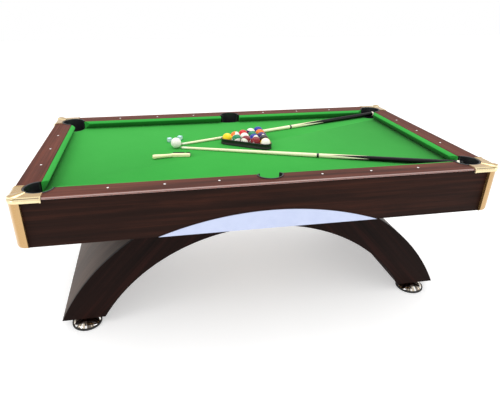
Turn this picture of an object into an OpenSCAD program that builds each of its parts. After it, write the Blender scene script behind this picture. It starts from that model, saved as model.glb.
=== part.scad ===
// Seven-foot pool table on arched legs, with its levelling feet and its play set.
// The origin is on the floor under the middle of the table.
// +X runs along the length, +Y towards the back long side and +Z up.

/* [Playing field] */
// Distance between the noses of the two end cushions
play_length = 1932; // [1900:4:1960]
// Distance between the noses of the two long cushions
play_width = 992; // [970:2:1010]
// Height of the rail tops above the floor
rail_top = 820; // [800:5:840]
// Height of the rail tops above the cloth
rail_rise = 44; // [42:1:46]
// Thickness of the bed slab
bed_thickness = 18; // [16:1:22]
// Thickness of the cloth
cloth_thickness = 1; // [0.8:0.1:1.2]
// Distance between neighbouring sights
sight_pitch = 235; // [230:1:240]

/* [Rails and cushions] */
// Width of a rail board
rail_width = 100; // [95:1:105]
// Thickness of a rail board
rail_board = 12; // [10:1:14]
// Depth of a cushion from the rail to its nose
cushion_depth = 24; // [22:1:28]
// Height of the cushion nose above the cloth
nose_height = 36; // [35:1:37]
// Radius of the rounded rail corners
rail_corner_r = 62; // [50:1:70]
// Radius of a round sight
sight_r = 5; // [4:0.5:6]

/* [Pockets] */
// Inner radius of a pocket liner
pocket_r = 58; // [56:1:60]
// Wall of a pocket liner
liner_wall = 3; // [2:0.5:3.5]
// Distance from the corner of the noses to a corner pocket's centre
corner_pocket_shift = 20; // [18:1:22]
// Distance from the long nose line to the centre of a side pocket's round back
side_pocket_shift = 26; // [25:1:27]
// Distance from the corner of the noses to the end of each cushion
corner_mouth = 75; // [72:1:80]
// Angle between a rail and the cushion's cut end at a corner
corner_facing = 40; // [38:1:44]
// Half of a side pocket's mouth at the noses
side_mouth = 60; // [59:0.5:61]

/* [Cabinet] */
// Height of the cabinet's lower edge
apron_bottom = 590; // [570:5:600]
// Thickness of an apron board
apron_thickness = 18; // [16:1:20]
// Distance from the rail's outer edge back to the apron's face
apron_inset = 14; // [12:1:16]
// Height of the crescent trim
crescent_height = 90; // [80:1:95]
// Half of the crescent trim's length
crescent_half = 512; // [480:1:540]
// Thickness of the crescent trim
crescent_thickness = 3; // [2:0.5:4]

/* [Corner castings] */
// Distance that a cap's end lies outside the rail's end
cap_over_x = 8; // [7:0.5:10]
// Distance that a cap's side lies outside the rail's side
cap_over_y = 8; // [7:0.5:10]
// Outer corner radius of a cap
cap_corner_r = 42; // [40:1:46]
// Wall of a cap
cap_wall = 5; // [4:0.5:5]
// Height of a cap's plate above the rails
cap_plate = 4; // [3:0.5:5]
// Length of a cap's arm measured from the rail's end
cap_arm = 130; // [125:1:135]
// Outer corner radius of a corner post
post_corner_r = 42; // [40:1:48]

/* [Legs] */
// Distance from the middle to the outer face of an arch panel
arch_y = 428; // [410:1:440]
// Thickness of an arch panel
arch_thickness = 18; // [16:1:20]
// Outer radius of the arch
arch_outer_r = 1153; // [1150:1:1160]
// Height of the outer radius's centre
arch_outer_z = -477; // [-482:1:-474]
// Inner radius of the arch
arch_inner_r = 955; // [950:1:960]
// Height of the inner radius's centre
arch_inner_z = -454; // [-458:1:-450]
// Height of the legs' lower edge
leg_bottom = 45; // [44:1:48]
// Thickness of the curved leg shell
shell_thickness = 12; // [9:1:14]

/* [Levellers] */
// Distance from the middle to a foot along the length
foot_x = 913; // [905:1:920]
// Distance from the middle to a foot across the width
foot_y = 396; // [392:1:397]
// Radius of the rubber pad
pad_r = 75; // [70:1:78]
// Radius of the threaded stem
stem_r = 6; // [5:0.5:6]

/* [Play set] */
// Diameter of a ball
ball_d = 57.2; // [57.1:0.05:57.3]
// Length of a cue
cue_length = 1450; // [1440:5:1455]
// Height of the ball rack
rack_height = 32; // [28:1:36]
// Wall of the ball rack
rack_wall = 6; // [5:0.5:7]

/* [Hidden] */
$fn = 64;
RAILS = ["front", "back", "left", "right"];
SIDES = [["front", -1], ["back", 1]];
ENDS = [["left", -1], ["right", 1]];
CORNERS = [["front_left", -1, -1], ["front_right", 1, -1], ["back_left", -1, 1], ["back_right", 1, 1]];

// Colours
MAHOGANY = [0.36, 0.2, 0.17];
DARK_MAHOGANY = [0.17, 0.1, 0.08];
GREEN = [0.2, 0.62, 0.24];
GOLD = [0.83, 0.66, 0.4];
RAW_BOARD = [0.72, 0.6, 0.44];
BLACK = [0.08, 0.08, 0.08];

// Levels
cloth_top = rail_top - rail_rise;
bed_top = cloth_top - cloth_thickness;
bed_bottom = bed_top - bed_thickness;
board_bottom = rail_top - rail_board;

// Lines seen from above, each measured from the table's middle
nose_x = play_length / 2;
nose_y = play_width / 2;
rail_in_x = nose_x + cushion_depth;
rail_in_y = nose_y + cushion_depth;
rail_out_x = rail_in_x + rail_width;
rail_out_y = rail_in_y + rail_width;
apron_out_x = rail_out_x - apron_inset;
apron_out_y = rail_out_y - apron_inset;
apron_in_x = apron_out_x - apron_thickness;
apron_in_y = apron_out_y - apron_thickness;
sight_shift = cushion_depth + rail_width * 0.42;

// Pockets
pocket_x = nose_x + corner_pocket_shift;
pocket_y = nose_y + corner_pocket_shift;
side_y = nose_y + side_pocket_shift;
side_front = side_y - 10;
hole_r = pocket_r + liner_wall + 1;
rim_r = pocket_r + 8;
liner_bottom = bed_bottom - 27;
net_bottom = apron_bottom + 22;
net_wall = 3;

// Posts and caps
post_out_x = apron_out_x + 21;
post_out_y = apron_out_y + 15;
post_in_x = apron_out_x - 30;
post_in_y = apron_out_y - 31;
cap_out_x = rail_out_x + cap_over_x;
cap_out_y = rail_out_y + cap_over_y;
cap_lip_bottom = rail_top - 18;
post_top = cap_lip_bottom - 0.5;

// Levellers: the stem turns in an insert, with a running fit
stem_gap = 0.06;
insert_r = 9;
foot_bottom = 8.3;

// Balls and rack, which lie a hair above the cloth
lie_z = cloth_top + 0.3;
ball_r = ball_d / 2;
ball_z = lie_z + ball_r;
ball_pitch = ball_d + 0.1;
row_pitch = ball_pitch * sqrt(3) / 2;
rack_gap = 0.5;

// Where the rack's first ball and the cues' tips lie, each with the way it points in degrees from +X
RACK = [-91.5, 80.5, -2.9];
CUE_BACK = [-355, 82, 17.71];
CUE_FRONT = [-358.6, 23, -20.3];
joint_at = 740;
tip_r = 6.25;
joint_r = 10.5;
butt_r = 15;

// Bolts
BOLTS_LONG = [250, 560, 800];
BOLTS_END = [0, 300];
bolt_in = 24;
bolt_r = 4;

// Places the children at the corner of the table with the given signs.
module at_corner(sx, sy) {
    mirror([sx < 0 ? 1 : 0, 0, 0]) mirror([0, sy < 0 ? 1 : 0, 0]) children();
}

// Draws the children at all four corners.
module each_corner() {
    for (c = CORNERS) at_corner(c[1], c[2]) children();
}

// Extrudes a section drawn in Y and Z along X, centred on the middle.
module along_x(length) {
    rotate([90, 0, 90]) translate([0, 0, -length / 2]) linear_extrude(length) children();
}

// Extrudes a section drawn in X and Z along Y, from y0 outwards.
module along_y(y0, length) {
    translate([0, y0 + length, 0]) rotate([90, 0, 0]) linear_extrude(length) children();
}

// A rectangle centred on the middle, with rounded corners.
module rounded_outline(x, y, r) {
    square([2 * (x - r), 2 * y], center = true);
    square([2 * x, 2 * (y - r)], center = true);
    for (sx = [-1, 1], sy = [-1, 1]) translate([sx * (x - r), sy * (y - r)]) circle(r, $fn = 96);
}

// The plan of a corner pocket's mouth, between the two cut cushion ends.
module corner_mouth_plan() {
    reach = 105;
    polygon([
        [nose_x - corner_mouth, nose_y],
        [nose_x - corner_mouth + reach * cos(corner_facing), nose_y + reach * sin(corner_facing)],
        [nose_x + reach * sin(corner_facing), nose_y - corner_mouth + reach * cos(corner_facing)],
        [nose_x, nose_y - corner_mouth],
        [nose_x - corner_mouth, nose_y - corner_mouth]
    ]);
}

// A notch for a side pocket on the +Y side: its rounded front and straight sides, open at the back.
module side_notch_plan(grow) {
    depth = 120;
    translate([0, side_front + depth]) rounded_outline(pocket_r + grow, depth + grow, 36 + grow);
}

// The plan of a side pocket on the +Y side: the notch, closed by half a circle at the back.
module side_pocket_plan(grow) {
    intersection() {
        side_notch_plan(grow);
        translate([0, side_y]) {
            circle(pocket_r + grow, $fn = 96);
            translate([-100, -100]) square([200, 100]);
        }
    }
}

// Everything that the six pockets cut out of the rails.
module pocket_cuts() {
    each_corner() {
        translate([pocket_x, pocket_y, bed_bottom - 50]) cylinder(r = hole_r, h = 200, $fn = 96);
        translate([0, 0, bed_bottom - 50]) linear_extrude(200) corner_mouth_plan();
    }
    for (sy = [0, 1]) mirror([0, sy, 0]) translate([0, 0, bed_bottom - 50]) linear_extrude(200) {
        side_pocket_plan(liner_wall + 1);
        translate([-hole_r, side_y - 40]) square([2 * hole_r, 40]);
    }
}

// Everything that the six pockets cut out of the bed: notches that are open to its edges.
module bed_cuts() {
    translate([0, 0, bed_bottom - 1]) linear_extrude(bed_thickness + 4) {
        each_corner() translate([pocket_x, pocket_y]) {
            circle(hole_r, $fn = 96);
            translate([-hole_r, 0]) square([200, 200]);
            translate([0, -hole_r]) square([200, 200]);
        }
        for (sy = [0, 1]) mirror([0, sy]) side_notch_plan(liner_wall + 1);
    }
}

// Clamping bolt positions on all four rails.
module bolt_places() {
    for (sx = [-1, 1], sy = [-1, 1], x = BOLTS_LONG)
        translate([sx * x, sy * (rail_in_y + bolt_in), 0]) children();
    for (sx = [-1, 1], y = BOLTS_END, sy = y == 0 ? [1] : [-1, 1])
        translate([sx * (rail_in_x + bolt_in), sy * y, 0]) children();
}

// The bed: two boards that meet under the middle, between the side pockets.
module bed_slab() {
    meeting = 0.1;
    color(RAW_BOARD) difference() {
        for (sx = [0, 1]) mirror([sx, 0, 0]) translate([meeting, 1 - apron_in_y, bed_bottom])
            cube([apron_in_x - 1 - meeting, 2 * (apron_in_y - 1), bed_thickness]);
        bed_cuts();
        bolt_places() translate([0, 0, bed_bottom - 1]) cylinder(r = bolt_r + 0.3, h = 40);
    }
}

module bed_cloth() {
    color(GREEN) difference() {
        translate([0, 0, bed_top + cloth_thickness / 2])
            cube([2 * (apron_in_x - 1), 2 * (apron_in_y - 1), cloth_thickness], center = true);
        bed_cuts();
        bolt_places() translate([0, 0, bed_top - 1]) cylinder(r = bolt_r + 0.3, h = 10);
    }
}

// Section of a rail: a board with a half-round outer edge and a block that stands on the bed.
module rail_section() {
    edge_r = rail_board / 2;
    translate([0, board_bottom]) square([rail_width - edge_r, rail_board]);
    translate([rail_width - edge_r, board_bottom + edge_r]) circle(edge_r, $fn = 48);
    translate([0, cloth_top]) square([64, rail_rise - rail_board + 1]);
}

// A rail on the +Y side of a field with half length along and half width across.
module rail(in_along, in_across, out_along, out_across) {
    intersection() {
        translate([0, in_across, 0]) along_x(2 * out_along) rail_section();
        translate([0, 0, cloth_top]) linear_extrude(rail_rise) polygon([
            [-in_along, in_across], [in_along, in_across],
            [out_along, out_across], [-out_along, out_across]
        ]);
    }
}

// A rail with its cuts. Each long rail is two boards that meet behind a side pocket.
module finished_rail(name) {
    meeting = 0.1;
    color(MAHOGANY) difference() {
        intersection() {
            if (name == "back") rail(rail_in_x, rail_in_y, rail_out_x, rail_out_y);
            if (name == "front") mirror([0, 1, 0]) rail(rail_in_x, rail_in_y, rail_out_x, rail_out_y);
            if (name == "left") rotate([0, 0, 90]) rail(rail_in_y, rail_in_x, rail_out_y, rail_out_x);
            if (name == "right") rotate([0, 0, -90]) rail(rail_in_y, rail_in_x, rail_out_y, rail_out_x);
            translate([0, 0, cloth_top - 1]) linear_extrude(rail_rise + 2)
                rounded_outline(rail_out_x, rail_out_y, rail_corner_r);
        }
        pocket_cuts();
        if (name == "front" || name == "back")
            translate([-meeting, -rail_out_y, 0]) cube([2 * meeting, 2 * rail_out_y, 900]);
        sight_places() translate([0, 0, rail_top - 2]) cylinder(r = sight_r, h = 4);
        bolt_places() translate([0, 0, cloth_top - 1]) cylinder(r = bolt_r + 0.1, h = 23);
    }
}

// Sights at an even pitch: six on each long rail, none at its middle, and three on each end rail.
module sight_places() {
    for (sy = [-1, 1], sx = [-1, 1], k = [1, 2, 3])
        translate([sx * k * sight_pitch, sy * (nose_y + sight_shift), 0]) children();
    for (sx = [-1, 1], k = [-1, 0, 1])
        translate([sx * (nose_x + sight_shift), k * sight_pitch, 0]) children();
}

module rail_sights() {
    color("white") sight_places() translate([0, 0, rail_top - 2]) cylinder(r = sight_r, h = 2.4);
}

module rail_bolts() {
    color("silver") bolt_places() {
        translate([0, 0, bed_bottom - 2]) cylinder(r = 11, h = 2);
        translate([0, 0, bed_bottom - 7]) cylinder(r = 7, h = 5, $fn = 6);
        translate([0, 0, bed_bottom - 3]) cylinder(r = bolt_r, h = bed_thickness + 23);
    }
}

// Section of a cushion, from the nose at zero out to the rail.
module cushion_section() {
    polygon([
        [cushion_depth, 0.5], [cushion_depth - 4, 0.5], [1, nose_height - 9], [0, nose_height - 3],
        [1.5, nose_height + 2], [5, nose_height + 5], [cushion_depth, rail_rise]
    ]);
}

// The cushion between a side pocket and a corner pocket, on the +X +Y side.
module cushion_long() {
    color(GREEN) intersection() {
        translate([0, nose_y, cloth_top]) along_x(play_length + 200) cushion_section();
        translate([0, 0, cloth_top - 1]) linear_extrude(rail_rise + 2) polygon([
            [side_mouth, nose_y - 1], [side_mouth + 1.5, rail_in_y - 0.2],
            [nose_x - corner_mouth + cushion_depth / tan(corner_facing) - 1, rail_in_y - 0.2],
            [nose_x - corner_mouth - 1, nose_y - 1]
        ]);
    }
}

// The cushion of the +X end.
module cushion_end() {
    end_y = nose_y - corner_mouth;
    end_out = end_y + cushion_depth / tan(corner_facing) - 1;
    color(GREEN) intersection() {
        rotate([0, 0, -90]) translate([0, nose_x, cloth_top]) along_x(play_width + 200) cushion_section();
        translate([0, 0, cloth_top - 1]) linear_extrude(rail_rise + 2) polygon([
            [nose_x - 1, end_y - 1], [rail_in_x - 0.2, end_out],
            [rail_in_x - 0.2, -end_out], [nose_x - 1, 1 - end_y]
        ]);
    }
}

// A corner pocket's liner: a sleeve through the bed and a collar with a rim round the rails.
module pocket_liner_corner() {
    color(BLACK) difference() {
        translate([pocket_x, pocket_y, 0]) rotate_extrude($fn = 96) polygon([
            [pocket_r, liner_bottom], [pocket_r + liner_wall, liner_bottom],
            [pocket_r + liner_wall, rail_top], [rim_r, rail_top],
            [rim_r - 1, rail_top + 3], [pocket_r + 1, rail_top + 3], [pocket_r, rail_top + 1]
        ]);
        translate([0, 0, cloth_top]) linear_extrude(100) corner_mouth_plan();
    }
}

// The side pocket liner on the +Y side: a sleeve through the bed and a U-shaped collar with a rim.
module pocket_liner_side() {
    color(BLACK) {
        translate([0, 0, liner_bottom]) linear_extrude(cloth_top - liner_bottom) difference() {
            side_pocket_plan(liner_wall);
            side_pocket_plan(0);
        }
        difference() {
            translate([0, 0, cloth_top]) linear_extrude(rail_top - cloth_top) side_pocket_plan(liner_wall);
            side_collar_bore();
        }
        difference() {
            translate([0, 0, rail_top]) linear_extrude(3) side_pocket_plan(liner_wall + 3);
            side_collar_bore();
        }
    }
}

// What is open in a side pocket's collar: the pocket itself and its mouth towards the field.
module side_collar_bore() {
    translate([0, 0, cloth_top - 1]) linear_extrude(100) {
        side_pocket_plan(0);
        translate([-100, side_y - 100]) square([200, 100 + rail_in_y - side_y]);
    }
}

// A net bag under a corner pocket: an open cup that narrows towards its bottom.
module corner_net() {
    top = liner_bottom - 0.5;
    inner = pocket_r - 2;
    foot = 43;
    translate([pocket_x, pocket_y, 0]) rotate_extrude() polygon([
        [0, net_bottom], [foot + net_wall, net_bottom], [inner + net_wall, top], [inner, top],
        [foot, net_bottom + net_wall], [0, net_bottom + net_wall]
    ]);
}

// A net bag under a side pocket: the same cup, drawn out along the rail.
module side_net() {
    height = liner_bottom - 0.5 - net_bottom;
    module cup(shrink) {
        hull() for (sx = [-1, 1]) translate([sx * 22, side_y + 19, net_bottom])
            cylinder(r1 = 24 - shrink, r2 = 33 - shrink, h = height, $fn = 32);
    }
    difference() {
        cup(0);
        translate([0, 0, net_wall]) cup(net_wall);
    }
}

module pocket_nets() {
    color(BLACK) {
        each_corner() corner_net();
        for (sy = [0, 1]) mirror([0, sy, 0]) side_net();
    }
}

module apron(name) {
    long = 2 * post_in_x;
    short = 2 * post_in_y;
    height = board_bottom - apron_bottom;
    z = apron_bottom + height / 2;
    x = apron_in_x + apron_thickness / 2;
    y = apron_in_y + apron_thickness / 2;
    color(DARK_MAHOGANY) {
        if (name == "front") translate([0, -y, z]) cube([long, apron_thickness, height], center = true);
        if (name == "back") translate([0, y, z]) cube([long, apron_thickness, height], center = true);
        if (name == "left") translate([-x, 0, z]) cube([apron_thickness, short, height], center = true);
        if (name == "right") translate([x, 0, z]) cube([apron_thickness, short, height], center = true);
    }
}

// The crescent plate on the +Y apron: a circle's cap standing on the apron's lower edge.
module crescent() {
    arc_r = (crescent_half * crescent_half + crescent_height * crescent_height) / (2 * crescent_height);
    color([0.78, 0.84, 0.94]) along_y(apron_out_y, crescent_thickness) intersection() {
        translate([0, apron_bottom + crescent_height - arc_r]) circle(arc_r, $fn = 360);
        translate([-crescent_half, apron_bottom]) square([2 * crescent_half, crescent_height + 1]);
    }
}

// The plan of one +X +Y corner, from the given inner lines outwards.
module corner_region(x, y) {
    translate([x, y]) square([200, 200]);
}

// The outer form of the corner caps, grown by the given amount: upright sides, a bevel and a flat top.
module cap_form(grow) {
    top = rail_top + cap_plate + grow;
    slices = [[0, cap_lip_bottom - grow, 10], [2.5, rail_top - 4 + grow, 0.5], [13, top - 0.5, 0.5]];
    hull() for (s = slices) translate([0, 0, s[1]]) linear_extrude(s[2])
        rounded_outline(cap_out_x - s[0] + grow, cap_out_y - s[0] + grow, cap_corner_r - s[0] + grow);
}

// A corner cap: a plate over the mitre with a lip down the rail edges, a bead across the end
// of each arm and a raised ridge from the domed outer corner to the pocket.
module corner_cap() {
    x0 = rail_out_x - cap_arm;
    y0 = rail_out_y - cap_arm;
    bead = 6;
    top = rail_top + cap_plate;
    ridge_from = (rim_r + 5) * cos(45);
    color(GOLD) difference() {
        union() {
            intersection() {
                cap_form(0);
                translate([0, 0, cap_lip_bottom - 5]) linear_extrude(50) corner_region(x0, y0);
            }
            intersection() {
                cap_form(1.2);
                translate([0, 0, cap_lip_bottom - 5]) linear_extrude(50) {
                    translate([x0, rail_in_y]) square([bead, 200]);
                    translate([rail_in_x, y0]) square([200, bead]);
                }
            }
            intersection() {
                translate([0, 0, rail_top + 1]) linear_extrude(20)
                    rounded_outline(cap_out_x - 3, cap_out_y - 3, cap_corner_r - 3);
                hull() {
                    translate([pocket_x + ridge_from, pocket_y + ridge_from, top])
                        scale([1, 1, 0.35]) sphere(10, $fn = 32);
                    translate([cap_out_x - 26, cap_out_y - 26, top - 1])
                        scale([1, 1, 0.35]) sphere(24, $fn = 32);
                }
            }
        }
        translate([0, 0, cap_lip_bottom - 5]) linear_extrude(rail_top - cap_lip_bottom + 5) intersection() {
            rounded_outline(cap_out_x - cap_wall, cap_out_y - cap_wall, cap_corner_r - cap_wall);
            corner_region(x0 - 1, y0 - 1);
        }
        translate([pocket_x, pocket_y, 0]) cylinder(r = rim_r + 1, h = rail_top + 40, $fn = 96);
        translate([0, 0, rail_top - 1]) linear_extrude(40) corner_mouth_plan();
    }
}

// A hollow corner post with a rounded outer edge, drawn in to a smaller foot at the bottom.
module corner_post() {
    foot = 10;
    step = foot / 4;
    color(GOLD) intersection() {
        translate([0, 0, apron_bottom]) linear_extrude(post_top - apron_bottom) difference() {
            intersection() {
                rounded_outline(post_out_x, post_out_y, post_corner_r);
                corner_region(post_in_x, post_in_y);
            }
            intersection() {
                rounded_outline(post_out_x - 5, post_out_y - 5, post_corner_r - 5);
                corner_region(post_in_x + 4, post_in_y + 4);
            }
            square([apron_in_x + 0.2, apron_in_y + 0.2]);
        }
        hull() {
            translate([0, 0, apron_bottom]) linear_extrude(1)
                rounded_outline(post_out_x - foot, post_out_y - foot, post_corner_r - foot);
            translate([0, 0, apron_bottom + 0.6 * foot]) linear_extrude(1)
                rounded_outline(post_out_x - step, post_out_y - step, post_corner_r - step);
            translate([0, 0, apron_bottom + 1.4 * foot]) linear_extrude(post_top - apron_bottom)
                rounded_outline(post_out_x, post_out_y, post_corner_r);
        }
    }
}

// The arch in X and Z: the space between two circles, from the leg's foot to the cabinet.
module arch_plan(outer_r, inner_r) {
    intersection() {
        difference() {
            translate([0, arch_outer_z]) circle(outer_r, $fn = 360);
            translate([0, arch_inner_z]) circle(inner_r, $fn = 360);
        }
        translate([-1200, leg_bottom]) square([2400, apron_bottom - leg_bottom]);
    }
}

module arch_panel() {
    color(DARK_MAHOGANY) along_y(arch_y - arch_thickness, arch_thickness)
        arch_plan(arch_outer_r, arch_inner_r);
}

// The curved board that closes the +X leg, between the two arch panels.
module leg_shell() {
    half = arch_y - arch_thickness;
    color([0.36, 0.29, 0.25]) along_y(-half, 2 * half) intersection() {
        difference() {
            translate([0, arch_outer_z]) circle(arch_outer_r, $fn = 360);
            translate([0, arch_outer_z]) circle(arch_outer_r - shell_thickness, $fn = 360);
        }
        translate([200, leg_bottom]) square([1000, apron_bottom - leg_bottom]);
    }
}

// The board across the foot of the +X leg, which holds the two inserts.
module leg_base() {
    half = arch_y - arch_thickness;
    color(RAW_BOARD) difference() {
        translate([817, -half, leg_bottom]) cube([187, 2 * half, 18]);
        for (sy = [-1, 1]) translate([foot_x, sy * foot_y, leg_bottom - 1]) cylinder(r = insert_r, h = 30);
    }
}

// Inserts with a flange on top of the leg base, one for each levelling stem.
module threaded_inserts() {
    color("silver") for (sx = [-1, 1], sy = [-1, 1]) translate([sx * foot_x, sy * foot_y, leg_bottom])
        difference() {
            union() {
                cylinder(r = insert_r, h = 18);
                translate([0, 0, 18]) cylinder(r = 13, h = 2);
            }
            translate([0, 0, -1]) cylinder(r = stem_r + stem_gap, h = 30);
        }
}

// Four boards across the cabinet's underside that the legs are screwed to.
module leg_mount_frame() {
    half_x = 560;
    open_x = 380;
    open_y = 370;
    board_gap = 0.2;
    color(RAW_BOARD) translate([0, 0, apron_bottom]) linear_extrude(18) {
        for (sy = [0, 1]) mirror([0, sy])
            translate([-half_x, open_y]) square([2 * half_x, apron_in_y - open_y]);
        for (sx = [0, 1]) mirror([sx, 0]) translate([open_x, -open_y + board_gap])
            square([half_x - open_x, 2 * (open_y - board_gap)]);
    }
}

// Beams across the cabinet and ledges along the aprons, clear of the pockets, which carry the bed.
module bed_frame() {
    ledge = 20;
    ledge_height = 40;
    beam = 24;
    board_gap = 0.2;
    beam_y = apron_in_y - ledge - board_gap;
    deep = bed_bottom - apron_bottom - 18;
    shallow = 77;
    ledge_from = hole_r + 12;
    ledge_to = pocket_x - hole_r - 16;
    ledge_end = pocket_y - hole_r - 16;
    color(RAW_BOARD) for (sx = [0, 1]) mirror([sx, 0, 0]) {
        for (b = [[150, deep], [420, deep], [690, shallow], [880, shallow]])
            translate([b[0] - beam / 2, -beam_y, bed_bottom - b[1]]) cube([beam, 2 * beam_y, b[1]]);
        for (sy = [0, 1]) mirror([0, sy, 0])
            translate([ledge_from, apron_in_y - ledge, bed_bottom - ledge_height])
                cube([ledge_to - ledge_from, ledge, ledge_height]);
        translate([apron_in_x - ledge, -ledge_end, bed_bottom - ledge_height])
            cube([ledge, 2 * ledge_end, ledge_height]);
    }
}

// A rubber pad: a disc with a raised rim that the foot turns in.
module foot_pad() {
    color(BLACK) translate([foot_x, foot_y, 0]) rotate_extrude() polygon([
        [0, 0], [pad_r - 2, 0], [pad_r, 2], [pad_r, 10], [pad_r - 2, 12],
        [pad_r - 5, 12], [pad_r - 5, foot_bottom - 0.3], [0, foot_bottom - 0.3]
    ]);
}

// A levelling foot: a hollow dome with a hub and a threaded stem, all turning together.
module leveller_foot() {
    rim = pad_r - 5.5;
    color("silver") translate([foot_x, foot_y, 0]) {
        rotate_extrude() polygon([
            [rim - 3, foot_bottom], [rim, foot_bottom], [rim, foot_bottom + 2], [rim - 6, 17],
            [rim - 22, 27], [24, 36], [14, 39], [14, leg_bottom - 1], [0, leg_bottom - 1],
            [0, 33], [20, 33], [rim - 24, 24], [rim - 9, 14]
        ]);
        translate([0, 0, leg_bottom - 2]) cylinder(r = stem_r, h = 56);
    }
}

module cue_ball() {
    color("ivory") translate([-383.7, 41.6, ball_z]) sphere(ball_r);
}

// Places the children where the first ball lies, with the rows one behind the other along +X.
module rack_place() {
    translate([RACK[0], RACK[1], 0]) rotate([0, 0, RACK[2]]) children();
}

// Fifteen balls in five rows of one to five.
module object_balls() {
    color("orange") rack_place() for (row = [0:4], k = [0:row])
        translate([row * row_pitch, (k - row / 2) * ball_pitch, ball_z]) sphere(ball_r, $fn = 48);
}

// A triangle with rounded corners round the ball rows, grown by the given amount.
module rack_plan(grow) {
    hull() {
        circle(ball_r + grow);
        for (side = [-1, 1]) translate([4 * row_pitch, side * 2 * ball_pitch]) circle(ball_r + grow);
    }
}

module rack() {
    color(BLACK) rack_place() translate([0, 0, lie_z]) linear_extrude(rack_height) difference() {
        rack_plan(rack_gap + rack_wall);
        rack_plan(rack_gap);
    }
}

// A cue lying on the cloth: it is turned about its axis and tilted so that its lower line lies flat.
module cue(place) {
    tilt = asin((butt_r - tip_r) / cue_length);
    color([0.93, 0.85, 0.66]) translate([place[0], place[1], lie_z + tip_r])
        rotate([0, 0, place[2]]) rotate([0, 90 - tilt, 0]) rotate_extrude($fn = 48) polygon([
            [0, 0], [tip_r - 1.5, 0], [tip_r, 3], [joint_r, joint_at],
            [butt_r, cue_length - 6], [butt_r - 4, cue_length], [0, cue_length]
        ]);
}

// Two chalk cubes.
module chalk() {
    size = 22;
    color([0.6, 0.8, 0.95]) for (p = [[-413.9, 158, 20], [-352.8, 186.7, -35]])
        translate([p[0], p[1], lie_z + size / 2]) rotate([0, 0, p[2]]) cube(size, center = true);
}

// Places the children at the brush's neck, turned so that +X runs along the head.
module brush_place() {
    translate([-414, -97.7, lie_z]) rotate([0, 0, -8]) children();
}

// A table brush lying on its side: a round grip that meets the brush head at a slight angle.
module brush_handle() {
    color([0.93, 0.84, 0.62]) {
        translate([-515.5, -122.8, lie_z + 12]) rotate([90, 0, 98.7]) rotate_extrude() polygon([
            [0, 0], [10, 0], [12, 8], [11.5, 18], [9, 60], [9, 92], [10, 108], [0, 108]
        ]);
        brush_place() translate([0, -10, 0]) cube([94, 20, 16]);
    }
}

module brush_bristles() {
    tufts = 9;
    color(BLACK) brush_place() for (k = [0:tufts - 1]) if (k != 6)
        translate([3 + k * 10, 10, 2]) cube([9.2, 31, 10]);
}

bed_slab();
bed_cloth();
bed_frame();
leg_mount_frame();
rail_sights();
rail_bolts();
threaded_inserts();
pocket_nets();
cue_ball();
object_balls();
rack();
cue(CUE_BACK);  // cue_back
cue(CUE_FRONT);  // cue_front
chalk();
brush_handle();
brush_bristles();
mirror([0, 1, 0]) pocket_liner_side();  // pocket_liner_side_front
pocket_liner_side();  // pocket_liner_side_back
for (name = RAILS) {
    finished_rail(name);
    apron(name);
}
for (c = CORNERS) {
    at_corner(c[1], c[2]) cushion_long();
    at_corner(c[1], c[2]) pocket_liner_corner();
    at_corner(c[1], c[2]) corner_cap();
    at_corner(c[1], c[2]) corner_post();
    at_corner(c[1], c[2]) foot_pad();
    at_corner(c[1], c[2]) leveller_foot();
}
for (s = SIDES) {
    at_corner(1, s[1]) crescent();
    at_corner(1, s[1]) arch_panel();
}
for (e = ENDS) {
    at_corner(e[1], 1) cushion_end();
    at_corner(e[1], 1) leg_shell();
    at_corner(e[1], 1) leg_base();
}
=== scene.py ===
"""Looks of the pool table: materials for its CAD parts, and detailed pieces for the plain ones."""

import math
import random

import bpy
import bmesh
from mathutils import Matrix, Quaternion, Vector


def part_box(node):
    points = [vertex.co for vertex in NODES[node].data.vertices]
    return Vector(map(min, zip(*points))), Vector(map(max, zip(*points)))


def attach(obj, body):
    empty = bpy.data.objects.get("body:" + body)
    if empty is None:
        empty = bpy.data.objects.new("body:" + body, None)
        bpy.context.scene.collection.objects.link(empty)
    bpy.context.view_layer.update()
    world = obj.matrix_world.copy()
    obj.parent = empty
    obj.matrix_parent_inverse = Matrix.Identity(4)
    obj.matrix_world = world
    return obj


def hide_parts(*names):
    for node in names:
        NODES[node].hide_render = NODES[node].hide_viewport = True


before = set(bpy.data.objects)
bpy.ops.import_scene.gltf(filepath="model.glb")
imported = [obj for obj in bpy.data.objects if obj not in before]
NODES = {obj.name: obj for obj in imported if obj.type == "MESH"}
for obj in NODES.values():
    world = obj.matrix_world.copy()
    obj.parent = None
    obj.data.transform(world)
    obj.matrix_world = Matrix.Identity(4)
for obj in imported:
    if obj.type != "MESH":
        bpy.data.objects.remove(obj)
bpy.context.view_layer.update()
MM = 0.001

# Levels and lines of the table, in millimetres, as the CAD has them
CLOTH_TOP, BED_BOTTOM = 776.0, 757.0
# The play set lies a hair above the cloth
LIE_Z = 776.3
NOSE_X, NOSE_Y = 966.0, 496.0
CUSHION_DEPTH = 24.0
POCKET_X, POCKET_Y, POCKET_R = 986.0, 516.0, 58.0
SIDE_FRONT, SIDE_ROUND, SIDE_NET_Y = 512.0, 36.0, 541.0
CORNERS = {"front_left": (-1, -1), "front_right": (1, -1), "back_left": (-1, 1), "back_right": (1, 1)}


# ---------------------------------------------------------------- materials


def srgb(red, green, blue):
    """A colour given as it looks on a screen, 0 to 255, as the linear numbers that a shader takes."""
    channels = (red, green, blue)
    return tuple(c / 3294.6 if c <= 10 else ((c / 255 + 0.055) / 1.055) ** 2.4 for c in channels) + (1.0,)


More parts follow.
